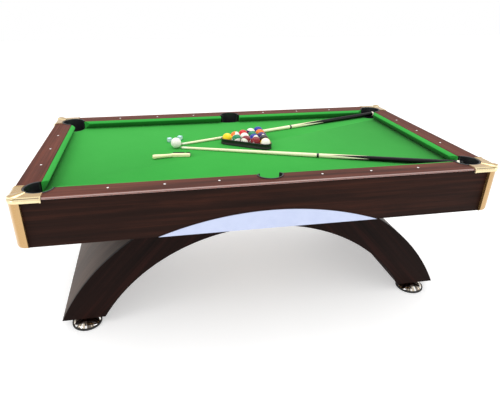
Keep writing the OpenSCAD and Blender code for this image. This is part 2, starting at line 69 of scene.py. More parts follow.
class Look:
    """A procedural material: a Principled shader and the nodes that feed it."""

    def __init__(self, name, **constants):
        self.material = bpy.data.materials.new(name)
        self.material.use_nodes = True
        self.tree = self.material.node_tree
        self.shader = self.tree.nodes["Principled BSDF"]
        for key, value in constants.items():
            self.shader.inputs[key.replace("_", " ")].default_value = value
        self.coord = self.add("ShaderNodeTexCoord").outputs["Object"]

    def add(self, kind, inputs=None, **settings):
        node = self.tree.nodes.new(kind)
        for key, value in settings.items():
            setattr(node, key, value)
        for key, value in (inputs or {}).items():
            if isinstance(value, bpy.types.NodeSocket):
                self.tree.links.new(value, node.inputs[key])
            else:
                node.inputs[key].default_value = value
        return node

    def mapped(self, scale=(1, 1, 1), turn=(0, 0, 0), shift=(0, 0, 0), source=None):
        return self.add(
            "ShaderNodeMapping",
            {"Vector": source or self.coord, "Scale": scale, "Rotation": turn, "Location": shift},
        ).outputs[0]

    def noise(self, vector, scale=1.0, detail=4.0, rough=0.5, warp=0.0):
        return self.add(
            "ShaderNodeTexNoise",
            {"Vector": vector, "Scale": scale, "Detail": detail, "Roughness": rough, "Distortion": warp},
        ).outputs["Fac"]

    def wave(self, vector, scale, warp=0.0, axis="X"):
        inputs = {"Vector": vector, "Scale": scale, "Distortion": warp}
        return self.add("ShaderNodeTexWave", inputs, bands_direction=axis).outputs["Fac"]

    def calc(self, operation, *values):
        return self.add("ShaderNodeMath", dict(enumerate(values)), operation=operation).outputs[0]

    def span(self, value, low, high, to_low=0.0, to_high=1.0):
        return self.add(
            "ShaderNodeMapRange", {0: value, 1: low, 2: high, 3: to_low, 4: to_high}
        ).outputs[0]

    def ramp(self, value, *stops):
        node = self.add("ShaderNodeValToRGB", {"Fac": value})
        band = node.color_ramp
        while len(band.elements) < len(stops):
            band.elements.new(0.5)
        for element, (place, colour) in zip(band.elements, stops):
            element.position, element.color = place, colour
        return node.outputs[0]

    def mix(self, share, a, b, blend="MIX"):
        return self.add(
            "ShaderNodeMix", {0: share, 6: a, 7: b}, data_type="RGBA", blend_type=blend
        ).outputs[2]

    def facing(self):
        """The way a face looks, as three numbers apart."""
        return self.add("ShaderNodeSeparateXYZ", {0: self.add("ShaderNodeNewGeometry").outputs["Normal"]})

    def feed(self, **sockets):
        for key, value in sockets.items():
            self.tree.links.new(value, self.shader.inputs[key.replace("_", " ")])
        return self

    def bump(self, height, strength=0.3, distance=0.0004):
        node = self.add("ShaderNodeBump", {"Height": height, "Strength": strength, "Distance": distance})
        return self.feed(Normal=node.outputs[0])


# The rails' round cuts for the pockets: radius, and how far out the side pockets' middles lie
CUT_R, SIDE_CUT_Y = 68.5, 522.0


def pocket_cuts(look, level):
    """Where a rail is cut round a pocket. level is how far a face looks up or down."""
    plan = look.add("ShaderNodeVectorMath", {0: look.coord}, operation="ABSOLUTE").outputs[0]
    plan = look.add("ShaderNodeVectorMath", {0: plan, 1: (1, 1, 0)}, operation="MULTIPLY").outputs[0]
    corner, side = (
        look.add("ShaderNodeVectorMath", {0: plan, 1: spot}, operation="DISTANCE").outputs["Value"]
        for spot in ((POCKET_X * MM, POCKET_Y * MM, 0), (0, SIDE_CUT_Y * MM, 0))
    )
    near = look.calc("LESS_THAN", look.calc("MINIMUM", corner, side), CUT_R * MM)
    return look.calc("MULTIPLY", near, look.calc("LESS_THAN", level, 0.9))


def laminate(name, tones, grain, rough, spec, turn=(0, 0, 0), mirror_x=False, highlit_edge_and_black_cuts=False):
    """Wood-grain film. tones run from dark to light. grain is the noise's scale on each axis, and then a 1
    for each axis that runs across the grain.

    A rail's film has a painted highlight where it is drawn round the edge: it is paler there, and glossy, on
    faces that look neither straight up nor straight sideways; and it is black on the cuts at the pockets.
    """
    dark, mid, light = tones
    stretch, across = grain
    look = Look(name, Specular_IOR_Level=spec, Coat_Roughness=0.2, Coat_IOR=3.2)
    source = look.coord
    if mirror_x:
        parts = look.add("ShaderNodeSeparateXYZ", {0: source})
        source = look.add(
            "ShaderNodeCombineXYZ",
            {0: look.calc("ABSOLUTE", parts.outputs[0]), 1: parts.outputs[1], 2: parts.outputs[2]},
        ).outputs[0]
    turned = look.mapped(turn=turn, source=source)
    scale = lambda k: tuple(s * k if wide else s for s, wide in zip(stretch, across))
    broad = look.noise(look.mapped(scale(9), source=turned), 1.0, 7, 0.62, 1.3)
    figure = look.noise(look.mapped(scale(42), shift=(3, 1, 7), source=turned), 1.0, 5, 0.6, 0.6)
    fine = look.noise(look.mapped(scale(260), shift=(1, 5, 2), source=turned), 1.0, 3, 0.65)
    blend = look.calc("ADD", look.calc("MULTIPLY", broad, 0.5), look.calc("MULTIPLY", figure, 0.5))
    colour = look.ramp(blend, (0.34, dark), (0.5, mid), (0.66, light))
    pores = look.span(fine, 0.30, 0.50, 0.55, 1.0)
    colour = look.mix(0.55, colour, look.mix(pores, dark, colour))
    if highlit_edge_and_black_cuts:
        level = look.calc("ABSOLUTE", look.facing().outputs[2])
        band = look.calc("MULTIPLY", look.span(level, 0.15, 0.35), look.span(level, 0.97, 0.80))
        look.feed(Coat_Weight=band)
        # Painted highlight: the edge band is mixed towards a pale pink-brown
        colour = look.mix(look.calc("MULTIPLY", band, 0.55), colour, srgb(176, 112, 96))
        colour = look.mix(pocket_cuts(look, level), colour, srgb(18, 18, 19))
    look.feed(Base_Color=colour, Roughness=look.span(fine, 0.3, 0.7, rough + 0.1, rough - 0.05))
    return look.bump(fine, 0.12, 0.0003).material


def cloth(name, tint, deep, underside_shade=0.0):
    """Short-napped woven playing cloth. The last argument is how much painted shade darkens it where it looks
    down.
    """
    look = Look(name, Specular_IOR_Level=0.15, Sheen_Weight=0.12, Sheen_Roughness=0.5)
    look.shader.inputs["Sheen Tint"].default_value = srgb(150, 230, 150)
    drift = look.noise(look.coord, 2.2, 4, 0.6)
    nap = look.noise(look.coord, 620.0, 3, 0.7)
    weave = look.calc(
        "MULTIPLY", look.wave(look.coord, 260.0, 0.6), look.wave(look.coord, 260.0, 0.6, "Y")
    )
    shade = look.calc("ADD", look.calc("MULTIPLY", nap, 0.6), look.calc("MULTIPLY", drift, 0.4))
    colour = look.ramp(shade, (0.3, deep), (0.7, tint))
    if underside_shade:
        # Painted shade: faces that look down are mixed towards a dark green
        down = look.span(look.facing().outputs[2], 0.0, -0.35, 0.0, underside_shade)
        colour = look.mix(down, colour, srgb(2, 60, 16))
    look.feed(Base_Color=colour, Roughness=look.span(nap, 0.3, 0.7, 0.86, 0.98))
    return look.bump(look.calc("ADD", nap, look.calc("MULTIPLY", weave, 0.5)), 0.35, 0.0003).material


def metal(name, colour, other, rough, grain=(60, 60, 60), metallic=1.0, bump=0.05):
    """Metal, with fine mottling and wear in its gloss."""
    look = Look(name, Metallic=metallic)
    fine = look.noise(look.mapped(grain), 8.0, 4, 0.6)
    broad = look.noise(look.coord, 14.0, 3, 0.6)
    brushed = look.span(fine, 0.3, 0.7, rough * 0.75, rough * 1.1)
    worn = look.span(broad, 0.3, 0.7, 0, rough * 0.3)
    look.feed(
        Base_Color=look.mix(look.span(broad, 0.3, 0.7), colour, other),
        Roughness=look.calc("ADD", brushed, worn),
    )
    return look.bump(fine, bump, 0.0002).material


def moulded(name, colour, other, rough, scale=420.0, bump=0.25, spec=0.5, coat=0.0):
    """Moulded plastic or rubber with a fine texture."""
    look = Look(name, Specular_IOR_Level=spec, Coat_Weight=coat, Coat_Roughness=0.08)
    grain = look.noise(look.coord, scale, 4, 0.6)
    broad = look.noise(look.coord, 11.0, 4, 0.55)
    rough_grain = look.span(grain, 0.3, 0.7, rough - 0.06, rough + 0.06)
    worn = look.span(broad, 0.35, 0.7, 0, 0.06)
    look.feed(
        Base_Color=look.mix(look.span(broad, 0.3, 0.7), colour, other),
        Roughness=look.calc("ADD", rough_grain, worn),
    )
    return look.bump(grain, bump, 0.0002).material


def chipboard(name):
    """Bare chipboard."""
    look = Look(name, Specular_IOR_Level=0.3)
    chips = look.add("ShaderNodeTexVoronoi", {"Vector": look.coord, "Scale": 240.0, "Randomness": 1.0})
    fibre = look.noise(look.coord, 90.0, 6, 0.7, 0.8)
    value = look.add("ShaderNodeSeparateColor", {0: chips.outputs["Color"]}).outputs[0]
    tone = look.calc("ADD", look.calc("MULTIPLY", value, 0.45), look.calc("MULTIPLY", fibre, 0.55))
    tones = (0.25, srgb(128, 98, 66)), (0.5, srgb(176, 143, 102)), (0.78, srgb(208, 180, 138))
    look.feed(Base_Color=look.ramp(tone, *tones), Roughness=look.span(fibre, 0.3, 0.7, 0.72, 0.9))
    return look.bump(tone, 0.4, 0.0004).material


X_GRAIN, Y_GRAIN, SHELL_GRAIN = ((0.9, 1, 1), (0, 1, 1)), ((1, 0.9, 1), (1, 0, 1)), ((1.4, 1, 1.4), (0, 1, 0))
LONG_RAIL_TONES = srgb(62, 30, 21), srgb(93, 48, 36), srgb(120, 66, 50)
END_RAIL_TONES = srgb(58, 27, 18), srgb(86, 42, 30), srgb(112, 58, 42)
# The aprons' tones are the rails' laminate, darkened by painted shade for faces that look sideways
APRON_SHADED_TONES = srgb(20, 7, 3), srgb(36, 16, 9), srgb(57, 28, 18)
LEG_TONES = srgb(12, 3, 1), srgb(26, 10, 6), srgb(46, 19, 14)
SHELL_TONES = srgb(50, 35, 25), srgb(65, 47, 36), srgb(84, 63, 50)
# The arch panels' grain follows the legs' slope, mirrored from left to right
LEG_GRAIN_TURN = (0, math.radians(-48), 0)
rail_x = laminate("rail_laminate_x", LONG_RAIL_TONES, X_GRAIN, rough=0.55, spec=0.12, highlit_edge_and_black_cuts=True)
rail_y = laminate("rail_laminate_y", END_RAIL_TONES, Y_GRAIN, rough=0.55, spec=0.12, highlit_edge_and_black_cuts=True)
apron_x = laminate("apron_laminate_x", APRON_SHADED_TONES, X_GRAIN, rough=0.5, spec=0.1)
apron_y = laminate("apron_laminate_y", APRON_SHADED_TONES, Y_GRAIN, rough=0.5, spec=0.15)
arch_wood = laminate(
    "arch_laminate", LEG_TONES, X_GRAIN, rough=0.5, spec=0.08, turn=LEG_GRAIN_TURN, mirror_x=True
)
shell_wood = laminate("shell_laminate", SHELL_TONES, SHELL_GRAIN, rough=0.5, spec=0.15)
bed_green = cloth("bed_cloth", srgb(58, 168, 66), srgb(44, 150, 54))
# The cushions' cloth has painted shade on the faces that look down
cushion_green = cloth("cushion_cloth", srgb(56, 166, 66), srgb(42, 148, 56), underside_shade=0.6)
silver = metal(
    "silver_plate", srgb(197, 206, 232), srgb(190, 200, 228), 0.42,
    grain=(1.5, 60, 60), metallic=0.3, bump=0.03,
)
steel = metal("zinc_steel", srgb(190, 192, 196), srgb(160, 163, 168), 0.34)
pearl = moulded("pearl", srgb(255, 254, 250), srgb(244, 243, 242), 0.18, 60.0, 0.02, coat=0.6)
liner_black = moulded("pocket_plastic", srgb(20, 21, 24), srgb(28, 29, 33), 0.42)
rubber = moulded("rubber", srgb(18, 18, 18), srgb(28, 28, 27), 0.62, 600.0, 0.35)
rack_black = moulded("rack_plastic", srgb(18, 18, 19), srgb(26, 26, 27), 0.32, 500.0, 0.2)
board = chipboard("chipboard")


def chrome_look():
    """Chrome on a turned dome, with radial streaks of painted reflection, from dark to bright, in its colour.
    """
    look = Look("chrome", Metallic=1.0, Roughness=0.08)
    parts = look.add("ShaderNodeSeparateXYZ", {0: look.coord})
    angle = look.calc("ARCTAN2", parts.outputs[1], parts.outputs[0])
    round_it = {0: look.calc("COSINE", angle), 1: look.calc("SINE", angle)}
    # Painted reflection: radial streaks in the base colour, dark through tan to white
    streak = look.noise(look.add("ShaderNodeCombineXYZ", round_it).outputs[0], 3.4, 3, 0.6, 0.3)
    dark, painted_glint = srgb(46, 44, 46), srgb(246, 246, 248)
    tones = (0.38, dark), (0.47, srgb(120, 112, 104)), (0.53, srgb(206, 192, 170)), (0.62, painted_glint)
    fine = look.noise(look.coord, 300.0, 3, 0.6)
    look.feed(Base_Color=look.ramp(streak, *tones), Roughness=look.span(fine, 0.3, 0.7, 0.05, 0.12))
    return look.bump(fine, 0.01, 0.0002).material


def gold_look(name, flat, lit_tone, level_on_top):
    """Gold lacquer, whose tone is painted light: it runs from the first colour to the second, as painted
    shade and painted highlights, with the way a face looks: up, or along the table.
    """
    look = Look(name, Metallic=0.8, Coat_Weight=0.5, Coat_Roughness=0.12)
    normal = look.facing()
    if level_on_top:
        share = look.span(look.calc("ABSOLUTE", normal.outputs[2]), 0.985, 0.93)
    else:
        along = look.calc("ABSOLUTE", normal.outputs[0])
        levels = (0.0, 0.35), (0.5, 0.1), (0.75, 1), (1.0, 0)
        share = look.ramp(along, *((place, (level, level, level, 1)) for place, level in levels))
    fine = look.noise(look.mapped((60, 60, 60)), 8.0, 4, 0.6)
    broad = look.noise(look.coord, 14.0, 3, 0.6)
    tone = look.mix(share, flat, lit_tone)
    worn = look.mix(look.span(broad, 0.3, 0.7, 0.0, 0.35), tone, look.mix(0.5, tone, srgb(188, 144, 88)))
    look.feed(Base_Color=worn, Roughness=look.span(fine, 0.3, 0.7, 0.2, 0.32))
    return look.bump(fine, 0.05, 0.0002).material


chrome = chrome_look()
# Painted light: the posts' gold changes across their faces, and the caps' gold is paler off their flat tops,
# as painted shade and highlights
gold = gold_look("satin_gold", srgb(180, 142, 86), srgb(206, 174, 130), False)
gold_cap = gold_look("gold_painted_highlights", srgb(190, 156, 96), srgb(242, 224, 178), True)


def dress(material, *names):
    """Gives CAD nodes their material."""
    for name in names:
        slots = NODES[name].data.materials
        slots.clear()
        slots.append(material)


dress(rail_x, "rail_front", "rail_back")
dress(rail_y, "rail_left", "rail_right")
dress(apron_x, "apron_front", "apron_back")
dress(apron_y, "apron_left", "apron_right")
dress(arch_wood, "arch_panel_front", "arch_panel_back")
dress(shell_wood, "leg_shell_left", "leg_shell_right")
dress(board, "bed_slab", "bed_frame")
dress(apron_y, "leg_mount_frame", "leg_base_left", "leg_base_right")
dress(silver, "crescent_front", "crescent_back")
dress(pearl, "rail_sights")
dress(steel, "rail_bolts", "threaded_inserts")
dress(liner_black, "pocket_liner_side_front", "pocket_liner_side_back")
for corner in CORNERS:
    dress(gold_cap, f"corner_cap_{corner}")
    dress(gold, f"corner_post_{corner}")
    dress(liner_black, f"pocket_liner_{corner}")
    dress(rubber, f"foot_pad_{corner}")


# ---------------------------------------------------------------- mesh tools


def piece(
    name, points, faces, materials, body="table", replaces=None, matrix=None, sharp=35, picks=None
):
    """A new piece from points in millimetres, riding on a CAD body.

    replaces is the CAD node that it stands for, and picks gives the material of each face.
    """
    mesh = bpy.data.meshes.new(name)
    mesh.from_pydata([[c * MM for c in p] for p in points], [], faces)
    for material in materials if isinstance(materials, (list, tuple)) else [materials]:
        mesh.materials.append(material)
    if picks:
        mesh.polygons.foreach_set("material_index", picks)
    work = bmesh.new()
    work.from_mesh(mesh)
    bmesh.ops.recalc_face_normals(work, faces=work.faces)
    work.to_mesh(mesh)
    work.free()
    mesh.polygons.foreach_set("use_smooth", [True] * len(mesh.polygons))
    mesh.set_sharp_from_angle(angle=math.radians(sharp))
    made = bpy.data.objects.new(name, mesh)
    bpy.context.scene.collection.objects.link(made)
    if matrix is not None:
        made.matrix_world = matrix
    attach(made, body)
    if replaces:
        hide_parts(replaces)
    return made


def circle(r, n):
    """Points round a circle."""
    return [(r * math.cos(2 * math.pi * k / n), r * math.sin(2 * math.pi * k / n)) for k in range(n)]


def rings(loops, closed=False):
    """Joins loops of points, each with as many points, into one skin, with its ends capped or joined."""
    n, m = len(loops[0]), len(loops)
    points = [p for loop in loops for p in loop]
    faces = []
    for i in range(m if closed else m - 1):
        a, b = i * n, (i + 1) % m * n
        faces += [(a + k, a + (k + 1) % n, b + (k + 1) % n, b + k) for k in range(n)]
    if not closed:
        faces += [tuple(range(n))[::-1], tuple(range((m - 1) * n, m * n))]
    return points, faces


def turned(profile, centre=(0, 0), n=48, axis="z"):
    """A profile of (radius, height) turned about an axis. A radius of zero closes an end to a point."""
    points, faces, rows = [], [], []
    for r, h in profile:
        if r < 1e-6:
            rows.append([len(points)])
            ring = [(0.0, 0.0)]
        else:
            rows.append(list(range(len(points), len(points) + n)))
            ring = circle(r, n)
        for u, v in ring:
            points.append((u + centre[0], v + centre[1], h) if axis == "z" else (h, u, v))
    for a, b in zip(rows, rows[1:]):
        for k in range(n):
            j = (k + 1) % n
            if len(a) == 1:
                faces.append((a[0], b[j], b[k]))
            elif len(b) == 1:
                faces.append((a[k], a[j], b[0]))
            else:
                faces.append((a[k], a[j], b[j], b[k]))
    return points, faces


def tube(path, radius, sides=6, closed=False):
    """A thin tube along a path."""
    loops = []
    count = len(path)
    up = Vector((0, 0, 1))
    for i, p in enumerate(path):
        before = Vector(path[i - 1] if i or closed else path[0])
        after = Vector(path[(i + 1) % count] if i < count - 1 or closed else path[-1])
        along = (after - before).normalized()
        side = along.cross(up)
        side = side.normalized() if side.length > 1e-3 else Vector((1, 0, 0))
        over = side.cross(along).normalized()
        loops.append([tuple(Vector(p) + side * u + over * v) for u, v in circle(radius, sides)])
    return rings(loops, closed)


def gather(parts):
    """Several (points, faces) as one."""
    points, faces = [], []
    for p, f in parts:
        base = len(points)
        points += p
        faces += [tuple(i + base for i in face) for face in f]
    return points, faces


def arc(cx, cy, r, start, end, n):
    """Points of an arc about (cx, cy), between two angles in degrees."""
    angles = [math.radians(start + (end - start) * k / n) for k in range(n + 1)]
    return [(cx + r * math.cos(a), cy + r * math.sin(a)) for a in angles]


def bevel(made, width, segments=2, angle=35):
    """Rounds a piece's edges that are sharper than the angle."""
    modifier = made.modifiers.new("edges", "BEVEL")
    modifier.width, modifier.segments = width * MM, segments
    modifier.limit_method, modifier.angle_limit = "ANGLE", math.radians(angle)
    modifier.harden_normals = True


# ---------------------------------------------------------------- bed cloth


def side_outline(grow, n=10):
    """The front of a side pocket's plan on the +Y side, from its left side round to its right side."""
    r, x, y = SIDE_ROUND + grow, POCKET_R - SIDE_ROUND, SIDE_FRONT + SIDE_ROUND
    return arc(-x, y, r, 180, 270, n) + arc(x, y, r, 270, 360, n)


def bed_cloth():
    """The cloth over the bed, with its edges turned down where the six pockets notch the bed."""
    low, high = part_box("bed_cloth")
    far_x, far_y = high.x / MM, high.y / MM
    # How far the cloth's notches clear the liners, and how far it rolls over the bed's edge
    gap, roll = 3.4, 2.6

    def corner_notch(grow):
        r = POCKET_R + gap + grow
        return [(POCKET_X - r, far_y)] + arc(POCKET_X, POCKET_Y, r, 180, 270, 24) + [(far_x, POCKET_Y - r)]

    def side_notch(grow):
        line = side_outline(gap + grow)
        return [(line[0][0], far_y)] + line + [(line[-1][0], far_y)]

    round_the_bed = [
        (1, 1, corner_notch, -1), (1, 1, side_notch, -1), (-1, 1, corner_notch, 1),
        (-1, -1, corner_notch, -1), (1, -1, side_notch, 1), (1, -1, corner_notch, 1),
    ]
    notches = [
        lambda g, sx=sx, sy=sy, shape=shape, way=way: [(sx * x, sy * y) for x, y in shape(g)[::way]]
        for sx, sy, shape, way in round_the_bed
    ]
    outline = [point for notch in notches for point in notch(roll)]
    curve = bpy.data.curves.new("bed_cut", "CURVE")
    curve.dimensions, curve.fill_mode = "2D", "BOTH"
    spline = curve.splines.new("POLY")
    spline.points.add(len(outline) - 1)
    for point, (x, y) in zip(spline.points, outline):
        point.co = (x * MM, y * MM, CLOTH_TOP * MM, 1)
    spline.use_cyclic_u = True
    flat = bpy.data.objects.new("bed_cut", curve)
    bpy.context.scene.collection.objects.link(flat)
    bpy.context.view_layer.update()
    mesh = bpy.data.meshes.new_from_object(flat.evaluated_get(bpy.context.evaluated_depsgraph_get()))
    bpy.data.objects.remove(flat)
    points = [(v.co.x / MM, v.co.y / MM, CLOTH_TOP) for v in mesh.vertices]
    faces = [tuple(f.vertices) for f in mesh.polygons]
    rows = [(roll, 0.0), (1.2, -0.35), (0.3, -1.2), (0.0, -roll), (0.0, -14.0)]
    for notch in notches:
        base, n = len(points), len(notch(0))
        for g, dz in rows:
            points += [(x, y, CLOTH_TOP + dz) for x, y in notch(g)]
        for i in range(len(rows) - 1):
            a, b = base + i * n, base + (i + 1) * n
            faces += [(a + k, a + k + 1, b + k + 1, b + k) for k in range(n - 1)]
    made = piece("bed_cloth_sheet", points, faces, bed_green, replaces="bed_cloth", sharp=60)
    work = bmesh.new()
    work.from_mesh(made.data)
    bmesh.ops.remove_doubles(work, verts=work.verts, dist=2e-5)
    bmesh.ops.recalc_face_normals(work, faces=work.faces)
    if sum(face.normal.z * face.calc_area() for face in work.faces) < 0:
        bmesh.ops.reverse_faces(work, faces=work.faces)
    work.to_mesh(made.data)
    work.free()
    skin = made.modifiers.new("thickness", "SOLIDIFY")
    skin.thickness, skin.offset = 0.9 * MM, -1


bed_cloth()

# ---------------------------------------------------------------- cushions

# A cushion's section, as distance from the nose and height over the cloth. The nose is round.
NOSE_ANGLES = [math.radians(a) for a in (215, 200, 180, 160, 140, 120, 106)]
CUSHION = (
    [(23.7, 0.6), (20.4, 0.6), (19.6, 1.2), (8.0, 17.2), (1.2, 26.6)]
    + [(3.2 + 3.2 * math.cos(a), 33.0 + 3.6 * math.sin(a)) for a in NOSE_ANGLES]
    + [(4.2, 38.2), (8.0, 40.2), (13.0, 41.9), (18.0, 43.0), (21.2, 43.4)]
    + [(22.6, 43.0), (23.2, 41.9), (23.7, 41.6)]
)
# How far a nose ends from the crossing of the noses' lines, and from the side pocket's middle
MOUTH, SIDE_MOUTH = 76.4, 60.3
# How much further a cushion reaches towards a corner pocket for each millimetre away from its nose
SLOPE = 1.41
# How much further a cushion is drawn back from a side pocket at the rail than at its nose
SIDE_SLANT = 1.5


def corner_end(crossing, d):
    """Where a cushion ends at a corner pocket, for a distance from its nose."""
    return crossing - MOUTH + d * SLOPE


def side_end(d):
    """Where a long cushion ends at a side pocket, for a distance from its nose."""
    return SIDE_MOUTH + SIDE_SLANT * d / CUSHION_DEPTH


def cushion(name, start, end, place):
    """A cloth-covered rubber cushion. start and end give where its ends lie for a distance from the nose."""
    steps = 26
    loops = []
    for i in range(steps + 1):
        share = i / steps
        along = lambda d: start(d) * (1 - share) + end(d) * share
        loops.append([place(along(d), d, CLOTH_TOP + h) for d, h in CUSHION])
    points, faces = rings(loops)
    made = piece(f"{name}_covered", points, faces, cushion_green, replaces=name, sharp=50)
    bevel(made, 1.4, 3, 50)


for corner, (sx, sy) in CORNERS.items():
    place = lambda u, d, z, sx=sx, sy=sy: (sx * u, sy * (NOSE_Y + d), z)
    cushion(f"cushion_{corner}", side_end, lambda d: corner_end(NOSE_X, d), place)
for end, sx in (("left", -1), ("right", 1)):
    reach = lambda d: corner_end(NOSE_Y, d)
    place = lambda u, d, z, sx=sx: (sx * (NOSE_X + d), u, z)
    cushion(f"cushion_end_{end}", lambda d: -reach(d), reach, place)

# ---------------------------------------------------------------- nets


def cord_look():
    """Twisted cord."""
    look = Look("net_cord", Specular_IOR_Level=0.3, Roughness=0.8)
    strand = look.wave(look.mapped(turn=(0.5, 0.6, 0.3)), 220.0, 1.0)
    look.feed(Base_Color=look.ramp(strand, (0.2, srgb(14, 14, 16)), (0.8, srgb(34, 34, 38))))
    return look.bump(strand, 0.5, 0.0003).material


cord_black = cord_look()
NET_TOP, NET_BOTTOM = BED_BOTTOM - 27.5, 613.5
NET_ROWS, NET_AROUND = 15, 28
# The share of a net's rows that hang nearly straight, and how close its knots come to its middle
NET_STRAIGHT, NET_GATHERED_R = 0.45, 7.0
CORD_R, KNOT_R, RIM_R = 1.3, 2.2, 1.5


def knot(middle, r):
    """A knot, as a small octahedron."""
    x, y, z = middle
    points = [(x + r, y, z), (x - r, y, z), (x, y + r, z), (x, y - r, z), (x, y, z + r), (x, y, z - r)]
    faces = [(0, 2, 4), (2, 1, 4), (1, 3, 4), (3, 0, 4), (2, 0, 5), (1, 2, 5), (3, 1, 5), (0, 3, 5)]
    return points, faces


def round_plan(r):
    """The plan of a round net."""
    return lambda a: (r * math.cos(a), r * math.sin(a))


def oblong_plan(a):
    """The plan of a side pocket's net: a rounded oblong."""
    bend = lambda c, half: half * math.copysign(abs(c) ** 0.7, c)
    return bend(math.cos(a), 53.0), bend(math.sin(a), 30.0)


def net(name, cx, cy, plan):
    """A knotted cord net, from its liner down to a gathered bottom. plan gives its outline at an angle."""

    def spot(row, k):
        """A knot's place. The net narrows a little, and then bends in to its bottom."""
        down = row / NET_ROWS
        z = NET_TOP - 0.5 - (NET_TOP - NET_BOTTOM - 1) * (1 - (1 - down) ** 1.12)
        bend = 1.0 if down < NET_STRAIGHT else math.cos((down - NET_STRAIGHT) / (1 - NET_STRAIGHT) * 1.32)
        share = (1 - 0.05 * math.sin(math.pi * min(1, down / NET_STRAIGHT))) * bend
        u, v = plan(2 * math.pi * (k + 0.5 * (row % 2)) / NET_AROUND)
        share = max(NET_GATHERED_R / math.hypot(u, v), share)
        return Vector((cx + u * share, cy + v * share, z))

    parts = []
    for row in range(NET_ROWS):
        for k in range(NET_AROUND):
            a = spot(row, k)
            for below in (k, k - 1) if row % 2 == 0 else (k + 1, k):
                b = spot(row + 1, below)
                middle = (a + b) / 2
                out = (middle - Vector((cx, cy, middle.z))) * 0.02
                parts.append(tube([tuple(a), tuple(middle + out), tuple(b)], CORD_R, 5))
    parts += [knot(spot(row, k), KNOT_R) for row in range(1, NET_ROWS) for k in range(NET_AROUND)]
    for z, rim in ((NET_TOP - 0.8, plan), (NET_BOTTOM + 0.6, round_plan(7.5))):
        loop = [(cx + u, cy + v, z) for u, v in (rim(2 * math.pi * k / 48) for k in range(48))]
        parts.append(tube(loop, RIM_R, 6, True))
    points, faces = gather(parts)
    piece(name, points, faces, cord_black, replaces="pocket_nets", sharp=80)


for corner, (sx, sy) in CORNERS.items():
    net(f"net_{corner}", sx * POCKET_X, sy * POCKET_Y, round_plan(POCKET_R - 1))
for side, sy in (("front", -1), ("back", 1)):
    net(f"net_side_{side}", 0, sy * SIDE_NET_Y, oblong_plan)

# ---------------------------------------------------------------- levelling feet

FOOT_X, FOOT_Y = 913.0, 396.0
# The dome's profile, from its centre underneath, round its rim and up to its flat top
DOME = (
    [(0.0, 32.5), (20.0, 31.0), (38.0, 26.5), (52.0, 20.8), (61.0, 14.6), (65.4, 9.6), (66.2, 9.0)]
    + [(66.6, 8.4), (69.2, 8.4), (69.5, 9.4), (69.4, 10.6), (68.6, 12.0), (66.5, 14.6), (63.0, 17.8)]
    + [(58.5, 21.0), (53.0, 24.0), (46.5, 26.9), (39.0, 29.6), (31.0, 32.2), (25.5, 34.4)]
    + [(22.4, 36.8), (20.6, 39.0), (18.6, 40.4), (15.0, 41.2), (0.0, 41.2)]
)
NUT_R, NUT_LEVELS = 11.4, (41.0, 44.2)
CORE = [(0.0, 40.0), (4.9, 40.0), (4.9, 98.0), (4.2, 99.0), (0.0, 99.0)]
# The thread's section, as radius and height, with its first height, its pitch and its turns
THREAD = (4.7, -0.8), (5.95, -0.1), (5.95, 0.1), (4.7, 0.8)
THREAD_FROM, THREAD_PITCH, THREAD_TURNS = 42.5, 1.75, 31


def foot(corner, x, y):
    """A levelling foot: a chromed dome with a hexagon on it, and a threaded stem."""
    body = f"foot_{corner}"
    points, faces = turned(DOME, n=72)
    piece(
        f"foot_dome_{corner}", points, faces, chrome, body=body,
        replaces=f"leveller_foot_{corner}", matrix=Matrix.Translation((x * MM, y * MM, 0)), sharp=28,
    )
    points, faces = rings([[(x + u, y + v, z) for u, v in circle(NUT_R, 6)] for z in NUT_LEVELS])
    bevel(piece(f"foot_nut_{corner}", points, faces, steel, body=body), 0.5)
    steps, loops = 20, []
    for i in range(THREAD_TURNS * steps + 1):
        a, z = 2 * math.pi * i / steps, THREAD_FROM + THREAD_PITCH * i / steps
        loops.append([(x + r * math.cos(a), y + r * math.sin(a), z + h) for r, h in THREAD])
    points, faces = gather([rings(loops), turned(CORE, (x, y), 24)])
    piece(f"foot_stem_{corner}", points, faces, steel, body=body, sharp=30)


for corner, (sx, sy) in CORNERS.items():
    foot(corner, sx * FOOT_X, sy * FOOT_Y)

# ---------------------------------------------------------------- rack and balls

BALL_R, PITCH = 28.6, 57.3
ROW = PITCH * math.sqrt(3) / 2
# The rack's frame: its origin is the middle of the first ball, and the rows follow along X
RACK = Matrix.Translation((-91.5, 80.5, 0)) @ Matrix.Rotation(math.radians(-2.9), 4, "Z")
BALL_Z = LIE_Z + BALL_R


def rack():
    """The triangle: a wall swept round its corner balls, with a thicker foot and a rolled top edge."""
    corners = [(0, 0, 180), (4 * ROW, -2 * PITCH, 300), (4 * ROW, 2 * PITCH, 60)]
    steps, path = 16, []
    for cx, cy, middle in corners:
        for k in range(steps + 1):
            a = math.radians(middle - 60 + 120 * k / steps)
            path.append((cx, cy, math.cos(a), math.sin(a)))
    inner, low, high = BALL_R + 0.5, LIE_Z, LIE_Z + 32.0
    section = (
        arc(inner + 1.2, low + 1.2, 1.2, 180, 270, 3)
        + arc(inner + 4.8, low + 1.2, 1.2, 270, 360, 3)
        + [(inner + 6.0, low + 6.0), (inner + 4.8, low + 9.0), (inner + 4.4, low + 20.0)]
        + arc(inner + 4.6, high - 3.2, 1.4, 300, 360, 2)
        + arc(inner + 3.4, high - 2.6, 2.6, 10, 90, 4)
        + arc(inner + 2.4, high - 2.4, 2.4, 90, 180, 4)
    )
    loops = [
        [tuple(RACK @ Vector((cx + u * r, cy + v * r, z))) for r, z in section] for cx, cy, u, v in path
    ]
    points, faces = rings(loops, closed=True)
    piece("rack_frame", points, faces, rack_black, body="rack", replaces="rack", sharp=40)


rack()


